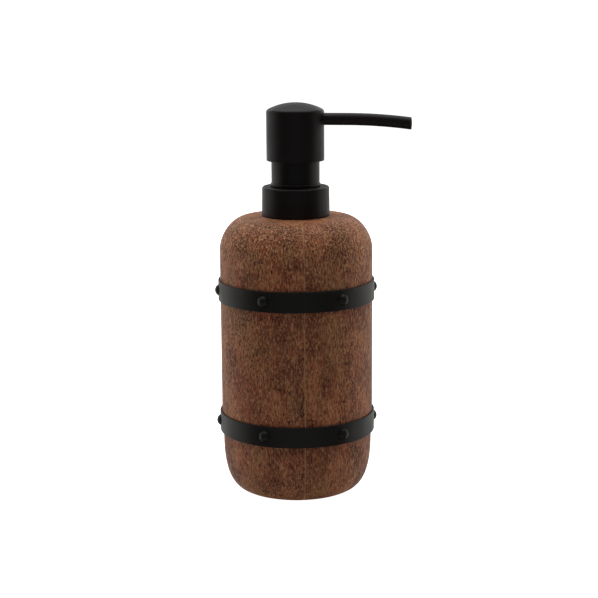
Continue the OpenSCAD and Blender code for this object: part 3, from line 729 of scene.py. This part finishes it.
# %% The spout's surface
def spout_skin(fillet=0.35 * MM, lip=0.35 * MM):
    """Rows give (s, r). Rows near the head have s = sqrt(head_r^2 - (r sin b)^2) + a step. The
    tip is cut upright: over TIP_CUT, s loses a growing share of r cos b tan(lean)."""
    sides, outer_rows, bore_rows = 40, 60, 40
    b = round_angles(sides)
    u, v = np.radians(np.linspace(0, 90, 6)), np.radians(np.linspace(0, 180, 9))
    inside, beyond = [-0.6 * MM, -0.1 * MM], [fillet + 0.1 * MM]
    step = np.concatenate([inside, fillet * (1 - np.cos(u)), beyond])[:, None]
    proud = np.concatenate([[0, fillet], fillet * (1 - np.sin(u)), [0]])[:, None]
    wide = SPOUT_R + proud
    by_head = spout_point(np.sqrt(head_r**2 - (wide * np.sin(b)) ** 2) + step, wide, b)
    outer_s = np.linspace(head_r + fillet + 0.7 * MM, spout_run - lip, outer_rows)[:, None]
    wall = (SPOUT_R - SPOUT_BORE) / 2
    round_s = (spout_run - lip + lip * np.sin(v))[1:-1, None]
    round_r = (SPOUT_R - wall + wall * np.cos(v))[1:-1, None]
    bore_s = np.linspace(spout_run - lip, spout_root, bore_rows)[:, None]
    s = np.concatenate([outer_s, round_s, bore_s])
    r = np.concatenate([0 * outer_s + SPOUT_R, round_r, 0 * bore_s + SPOUT_BORE])
    share = np.clip((s - spout_run + lip) / TIP_CUT + 1, 0, 1)
    run = spout_point(s - share * r * np.cos(b) * math.tan(spout_lean), r, b)
    return np.concatenate([spout_point(np.full((1, 1), spout_root), SPOUT_R, b), by_head, run])


spout = skin("bent_spout", [spout_skin()], loop_rows=True, sharp=65)
settle(spout, "head", ["spout_tube"], PUMP_COAT)

# %% [markdown]
# ## The return spring
#
# Out of sight in the pump's cylinder, a coil of steel wire pushes the head back up. It is a
# circle of wire carried up a helix, wound flat for one turn at each end. When the head goes
# down the coil's free turns close up.


# %% Spring wire
def spring_wire():
    """Drawn stainless wire: bright, with fine die marks a tenth of a millimetre wide."""
    material, tree, place = start_material("Drawn stainless spring wire")
    drawn = add(tree, "TexNoise", {"Scale": 9.0, "Detail": 2.0}, {"Vector": place}).outputs["Fac"]
    bump = add(tree, "Bump", {"Strength": 0.2, "Distance": 0.01 * MM}, {"Height": drawn}).outputs[0]
    rough = add(tree, "MapRange", {"To Min": 0.22, "To Max": 0.36}, {"Value": drawn}).outputs[0]
    steels = {"data_type": "RGBA", 6: linear("#b4b5b6"), 7: linear("#c8c8c6")}
    colour = add(tree, "Mix", steels, {0: drawn}).outputs[2]
    shade(tree, {"Metallic": 1.0}, {"Base Color": colour, "Roughness": rough, "Normal": bump})
    return material


SPRING_WIRE = spring_wire()
print("made", SPRING_WIRE.name)


# %% The spring's coil
def coil():
    """At u turns the wire's centre is (r cos 2 pi u, r sin 2 pi u, z(u)). In the first and last
    turns z rises by little more than the wire's width, and evenly over the free turns between."""
    wire, turns, coil_r, steps, sides = 0.4 * MM, 8, 4.3 * MM, 28, 12
    foot, top, close = low("return_spring") + wire, high("return_spring") - wire, 0.85 * MM
    u = np.linspace(0, turns, turns * steps + 1)
    z = np.interp(u, [0, 1, turns - 1, turns], [foot, foot + close, top - close, top])[:, None]
    t, b = (2 * math.pi * u)[:, None], round_angles(sides)
    r = coil_r + 0 * t + wire * np.cos(b)
    body = np.stack([r * np.cos(t), r * np.sin(t), z + wire * np.sin(b)], -1)
    caps = [np.repeat(body[k].mean(0)[None, None], sides, 1) for k in (0, -1)]
    return np.concatenate([caps[0], body, caps[1]])


spring = skin("return_spring_coil", [coil()])
settle(spring, "pump_body", ["return_spring"], SPRING_WIRE)
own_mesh(spring)

# %% [markdown]
# ## The pad and the ball
#
# The pad under the plug is black foam with small open cells. The inlet ball is ground stainless
# steel, almost a mirror. Neither shows from the front, so one pattern each is enough.


# %% Foam and ground steel
def cellular_foam():
    """EVA foam: cells of 0.6 mm, darker and deeper at their middles."""
    material, tree, place = start_material("Black EVA foam pad")
    cells = add(tree, "TexVoronoi", {"Scale": 1.7}, {"Vector": place}).outputs["Distance"]
    bump = add(tree, "Bump", {"Strength": 0.7, "Distance": 0.1 * MM}, {"Height": cells}).outputs[0]
    foams = {"data_type": "RGBA", 6: linear("#0f0f0f"), 7: linear("#262626")}
    colour = add(tree, "Mix", foams, {0: cells}).outputs[2]
    shade(tree, {"IOR": 1.45, "Roughness": 0.85}, {"Base Color": colour, "Normal": bump})
    return material


def ground_steel():
    """Bearing steel, ground and tumbled: a mirror with hair-fine random scratches."""
    material, tree, place = start_material("Ground stainless ball")
    scratch = {"Scale": 6.0, "Detail": 5.0, "Roughness": 0.7}
    fine = add(tree, "TexNoise", scratch, {"Vector": place}).outputs["Fac"]
    rough = add(tree, "MapRange", {"To Min": 0.05, "To Max": 0.16}, {"Value": fine}).outputs[0]
    steels = {"data_type": "RGBA", 6: linear("#bfc2c4"), 7: linear("#d2d3d2")}
    colour = add(tree, "Mix", steels, {0: fine}).outputs[2]
    shade(tree, {"Metallic": 1.0}, {"Base Color": colour, "Roughness": rough})
    return material


FOAM = cellular_foam()
GROUND_STEEL = ground_steel()
print("made", FOAM.name, "and", GROUND_STEEL.name)

# %% [markdown]
# ## Finishes for the parts inside
#
# The frame's own shapes are right for the liner, the pump's engine and the screw cap, so those
# nodes stay and only take a finish. Natural polypropylene is milky, polyethylene is softer and
# waxier, the gasket is a white elastomer, and the dip tube is almost clear.


# %% Dip tube
def clear_tube():
    """Extruded polyethylene: clear but hazy, with faint lines 1.5 mm apart along the draw."""
    material, tree, place = start_material("Clear polyethylene tube")
    lines = add(tree, "Mapping", {"Scale": (1, 1, 0.05)}, {"Vector": place}).outputs[0]
    streaks = add(tree, "TexNoise", {"Scale": 0.7, "Detail": 2.0}, {"Vector": lines}).outputs["Fac"]
    rough = add(tree, "MapRange", {"To Min": 0.12, "To Max": 0.3}, {"Value": streaks}).outputs[0]
    clears = {"data_type": "RGBA", 6: linear("#e4e7e4"), 7: linear("#f2f3f1")}
    colour = add(tree, "Mix", clears, {0: streaks}).outputs[2]
    shade(tree, {"IOR": 1.5, "Transmission Weight": 0.6}, {"Base Color": colour, "Roughness": rough})
    return material


NATURAL_PP = moulded("Natural polypropylene", "#d9dbd6", "#e6e6e0", 0.34, soft=0.25)
NATURAL_PE = moulded("Natural polyethylene", "#dcdad0", "#e9e6dc", 0.5, grain=2.5, soft=0.3)
SEAL = moulded("White thermoplastic elastomer", "#e2e0d8", "#edebe4", 0.62, grain=3.0, soft=0.2)
TUBE = clear_tube()
print("made", NATURAL_PP.name, "and the rest of the plastics")

# %% Each node that stays takes its finish
FINISHES = {
    "base_pad": FOAM, "liner_bottle": NATURAL_PE, "screw_cap": BLACK_PP, "neck_gasket": SEAL,
    "stem_guide": BLACK_PP, "pump_housing": NATURAL_PP, "dip_tube": TUBE, "inlet_ball": GROUND_STEEL,
    "pump_stem": NATURAL_PP, "stem_plug": NATURAL_PP, "piston_seal": NATURAL_PE, "head_core": BLACK_PP,
}
for node, material in FINISHES.items():
    for slot in NODES[node].material_slots:
        slot.link = "OBJECT"
        slot.material = material
print(len(FINISHES), "nodes keep their shape and take a finish")

# %% [markdown]
# ## Floor, backdrop and light
#
# The object stands in a white light tent, whose floor and backdrop are lit until they read as
# plain white. Here they glow that white by themselves, and hide from the object's reflections,
# so that the black metal stays black and its highlights come from the lights alone. Two tall
# soft boxes stand at the sides, well behind the object. They light the cheeks of the barrel and
# give the black metal its thin bright edges. A broad one overhead and a dimmer one behind it
# light the shoulder and the dome. A dim one at the camera and one below it, like light off a
# white table, open the front.

# %% The view and the tent's directions
VIEW_TURN = math.radians(9)
TOWARDS = np.array([math.sin(VIEW_TURN), -math.cos(VIEW_TURN), 0])
RIGHT = np.array([math.cos(VIEW_TURN), math.sin(VIEW_TURN), 0])
MIDDLE = np.array([0, 0, high("head_shell") / 2])
scene = bpy.context.scene
scene.view_settings.view_transform = "Standard"
print("the camera stands", round(math.degrees(VIEW_TURN)), "degrees round from the object's front")


# %% White surfaces of the tent
def tent_white():
    """Matt white paper that glows, with a faint fibre pattern of 3 mm."""
    material, tree, place = start_material("White paper sweep")
    fibre = add(tree, "TexNoise", {"Scale": 0.3, "Detail": 4.0}, {"Vector": place}).outputs["Fac"]
    glow = add(tree, "MapRange", {"To Min": 1.0, "To Max": 1.04}, {"Value": fibre}).outputs[0]
    white = {"Base Color": linear("#f2f2f2"), "Roughness": 0.9, "Emission Color": (1, 1, 1, 1)}
    shade(tree, white, {"Emission Strength": glow})
    return material


def tent_surface(name, points, faces):
    """A surface that the camera sees and that neither lights nor shades the object."""
    mesh = bpy.data.meshes.new(name)
    mesh.from_pydata(points, [], faces)
    mesh.materials.append(TENT_WHITE)
    surface = bpy.data.objects.new(name, mesh)
    scene.collection.objects.link(surface)
    surface.visible_diffuse = surface.visible_glossy = False
    surface.visible_transmission = surface.visible_shadow = False
    print(name, "has", len(faces), "faces")


# %% Floor and backdrop
TENT_WHITE = tent_white()
FLOOR, WALL_R, WALL_TOP, WALL_SIDES = 6.0, 5.4, 8.0, 96
floor_corners = [(x * FLOOR, y * FLOOR, 0) for x, y in ((-1, -1), (1, -1), (1, 1), (-1, 1))]
tent_surface("floor", floor_corners, [(0, 1, 2, 3)])
wall = turned(np.array([(WALL_R, -0.01), (WALL_R, WALL_TOP)]), WALL_SIDES).reshape(-1, 3)
foot, top = np.arange(2 * WALL_SIDES).reshape(2, WALL_SIDES)
wall_faces = np.stack([foot, top, np.roll(top, -1), np.roll(foot, -1)], -1)
tent_surface("backdrop", wall.tolist(), wall_faces.tolist())


# %% Soft boxes
WARM = (1, 0.985, 0.95)


def soft_box(name, turn, rise, distance, wide, tall, glow, colour=(1, 1, 1)):
    """Stands at a turn round from the camera's side, to the right when positive, and a rise
    above the table, and faces the object. Glow is its radiance: power = glow * area * pi."""
    light = bpy.data.lights.new(name, "AREA")
    light.shape, light.size, light.size_y = "RECTANGLE", wide, tall
    light.energy, light.color = glow * wide * tall * math.pi, colour
    turn, rise = math.radians(turn), math.radians(rise)
    flat = TOWARDS * math.cos(turn) + RIGHT * math.sin(turn)
    out = flat * math.cos(rise) + np.array([0, 0, math.sin(rise)])
    across = np.cross([0, 0, 1], flat)
    lamp = bpy.data.objects.new(name, light)
    spin = Matrix([*zip(across, np.cross(out, across), out)]).to_4x4()
    lamp.matrix_world = Matrix.Translation(MIDDLE + out * distance) @ spin
    lamp.visible_camera = False
    scene.collection.objects.link(lamp)


soft_box("left_box", -126, -5, 0.9, 1.7, 1.6, 0.96, WARM)
soft_box("right_box", 126, -5, 0.9, 1.7, 1.6, 0.92, WARM)
soft_box("top_box", 180, 84, 0.9, 1.2, 0.9, 2.1)
soft_box("back_box", 180, 42, 1.2, 1.2, 1.2, 0.65)
soft_box("front_box", 0, 8, 1.6, 1.6, 1.2, 0.2)
soft_box("table_box", 0, -42, 0.9, 1.4, 0.7, 0.5)

# %% The dim room round the tent
ROOM_GLOW = 0.05
world = bpy.data.worlds.new("Dim room")
world.use_nodes = True
room = world.node_tree.nodes["Background"]
room.inputs["Color"].default_value = (1, 1, 1, 1)
room.inputs["Strength"].default_value = ROOM_GLOW
scene.world = world
print("the room glows at", ROOM_GLOW)

# %% [markdown]
# ## The camera
#
# The camera looks a little down at the object from 0.76 m, just to the right of the glue line,
# through a lens long enough to keep the barrel's sides straight. It leans by less than half a
# degree, as a hand-set tripod does.

# %% The camera
lens = bpy.data.cameras.new("camera")
lens.lens, lens.sensor_width = 94.45, 36.0
lens.clip_start, lens.clip_end = 0.05, 40.0
camera = bpy.data.objects.new("camera", lens)
scene.collection.objects.link(camera)
distance, height = 0.760, 0.2464
heading, pitch, lean = VIEW_TURN - math.radians(0.095), math.radians(11.2), math.radians(-0.4)
turn = Matrix.Rotation(heading, 4, "Z") @ Matrix.Rotation(math.pi / 2 - pitch, 4, "X")
stand = Matrix.Translation((distance * TOWARDS[0], distance * TOWARDS[1], height))
camera.matrix_world = stand @ turn @ Matrix.Rotation(lean, 4, "Z")
scene.camera = camera
print("the camera looks down by", round(math.degrees(pitch), 1), "degrees")
